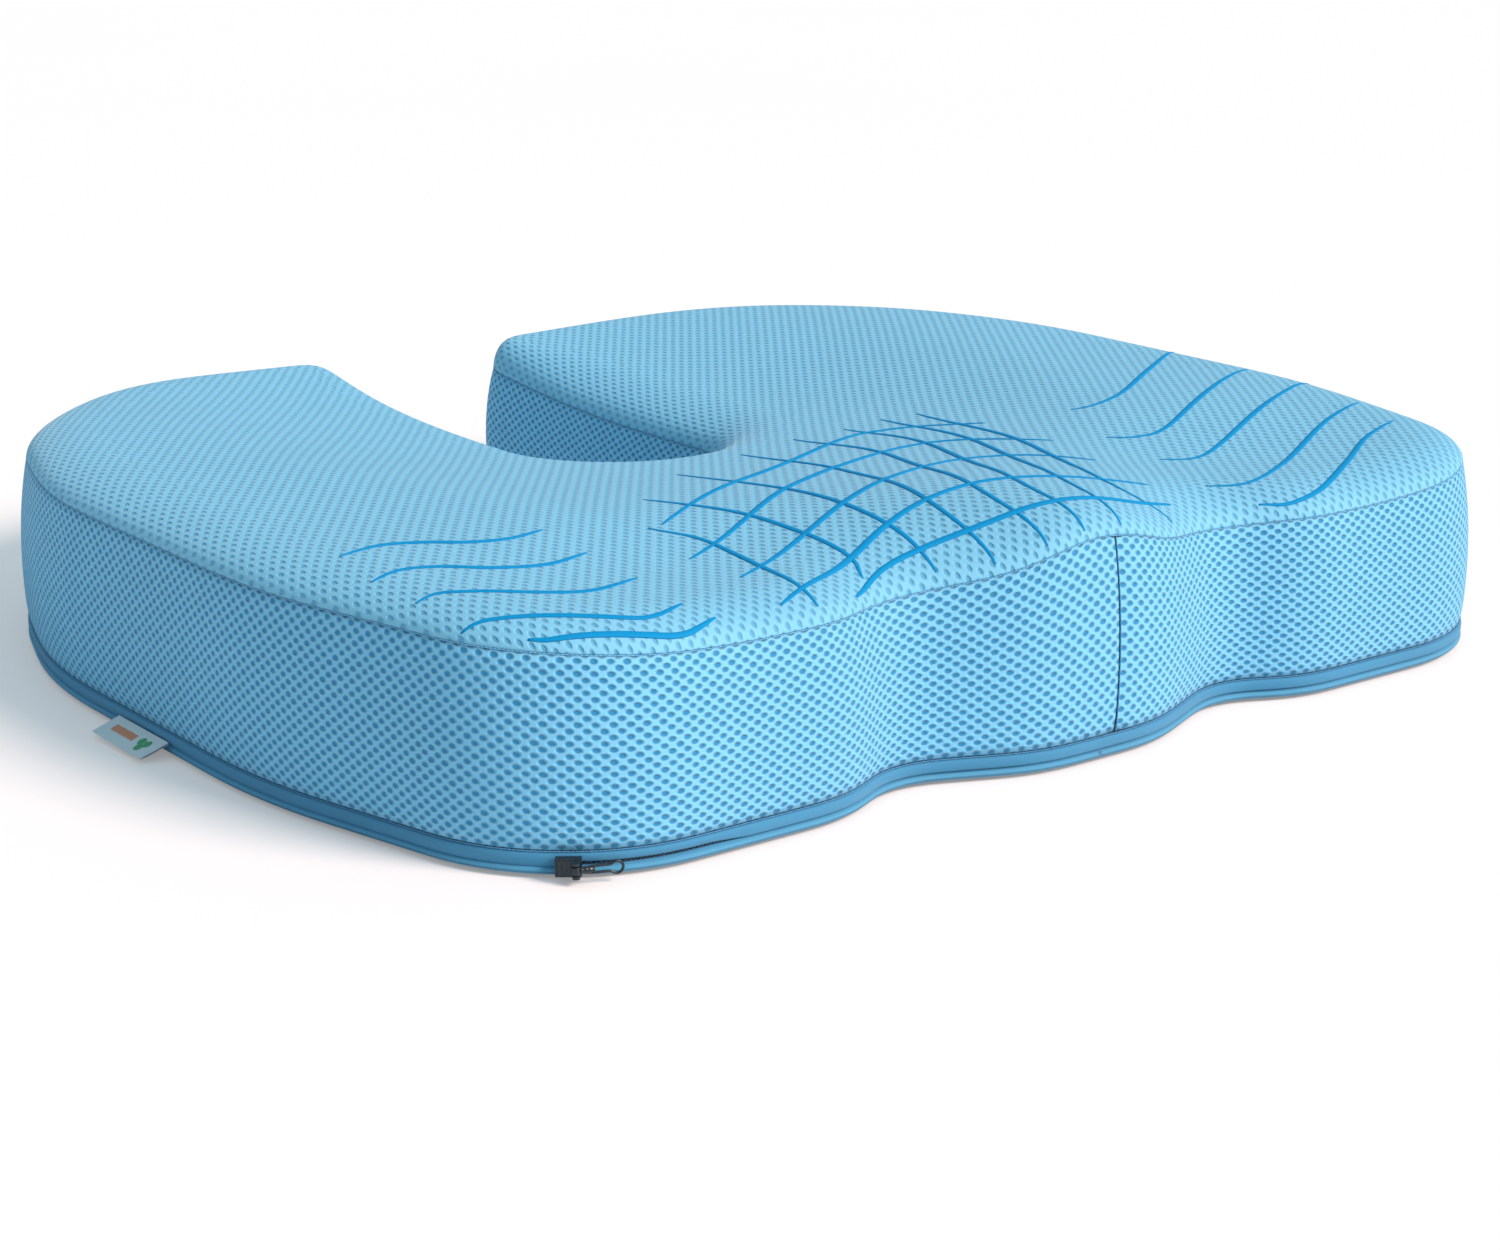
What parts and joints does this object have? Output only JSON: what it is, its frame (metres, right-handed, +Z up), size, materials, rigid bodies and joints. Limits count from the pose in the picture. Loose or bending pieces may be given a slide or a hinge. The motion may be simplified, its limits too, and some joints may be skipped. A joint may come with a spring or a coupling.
{
  "type": "seat cushion",
  "caption": "U-shaped foam seat cushion with a tailbone cut-out, wavy thigh front, zipped mesh cover, piped bottom edge, corner zip slider with loop pull and a side label.",
  "frame": {"origin": "on the supporting plane, under the middle of the cushion's plan (the label stands out beyond it on the left)", "axes": "+Z up from the supporting surface, -Y towards the wavy front edge, +Y towards the open end of the tailbone cut-out, +X to the right seen from the front"},
  "size_m": [0.4602, 0.413, 0.078],
  "materials": {
    "foam": "open-cell memory foam, cream",
    "mesh_top": "light blue air-mesh knit with printed contour lines",
    "mesh_side": "light blue honeycomb air-mesh knit",
    "strip": "smooth woven tape, mid blue",
    "thread": "twisted polyester thread, blue",
    "coil": "nylon zip coil, dark blue",
    "piping": "woven piping, light blue",
    "base_fabric": "non-slip base fabric, dark, with silicone dots",
    "slider": "black lacquered zinc",
    "pull": "black lacquered wire",
    "stop": "black coated zip stops",
    "label": "white woven satin label with a plain orange and green mark"
  },
  "bodies": {
    "cushion": {"foam_core": "foam", "top_panel": "mesh_top", "band_left": "mesh_side", "band_right": "mesh_side", "band_notch": "mesh_side", "top_seam": "thread", "base_seam": "thread", "front_seam": "thread", "rear_seams": "thread", "bottom_panel": "base_fabric", "piping": "piping", "upper_zip_tape": "strip", "lower_zip_tape": "strip", "plain_strip": "strip", "zip_coil": "coil", "zip_end_stop": "stop", "zip_top_stops": "stop"},
    "slider": {"zip_slider": "slider"},
    "pull": {"zip_pull": "pull"},
    "label": {"side_label": "label"}
  },
  "joints": [
    {"name": "slider_travel", "type": "hinge", "parent": "cushion", "child": "slider", "pos_m": [-0.14981, -0.142, 0.00455], "axis": [0, 0, 1], "range_deg": [0, 28]},
    {"name": "pull_swing", "type": "hinge", "parent": "slider", "child": "pull", "pos_m": [-0.18635, -0.196, 0.00455], "axis": [0, 0, -1], "range_deg": [0, 180]},
    {"name": "label_flap", "type": "hinge", "parent": "cushion", "child": "label", "pos_m": [-0.2258, -0.015, 0.005], "axis": [0, 1, 0], "range_deg": [0, 100]}
  ]
}
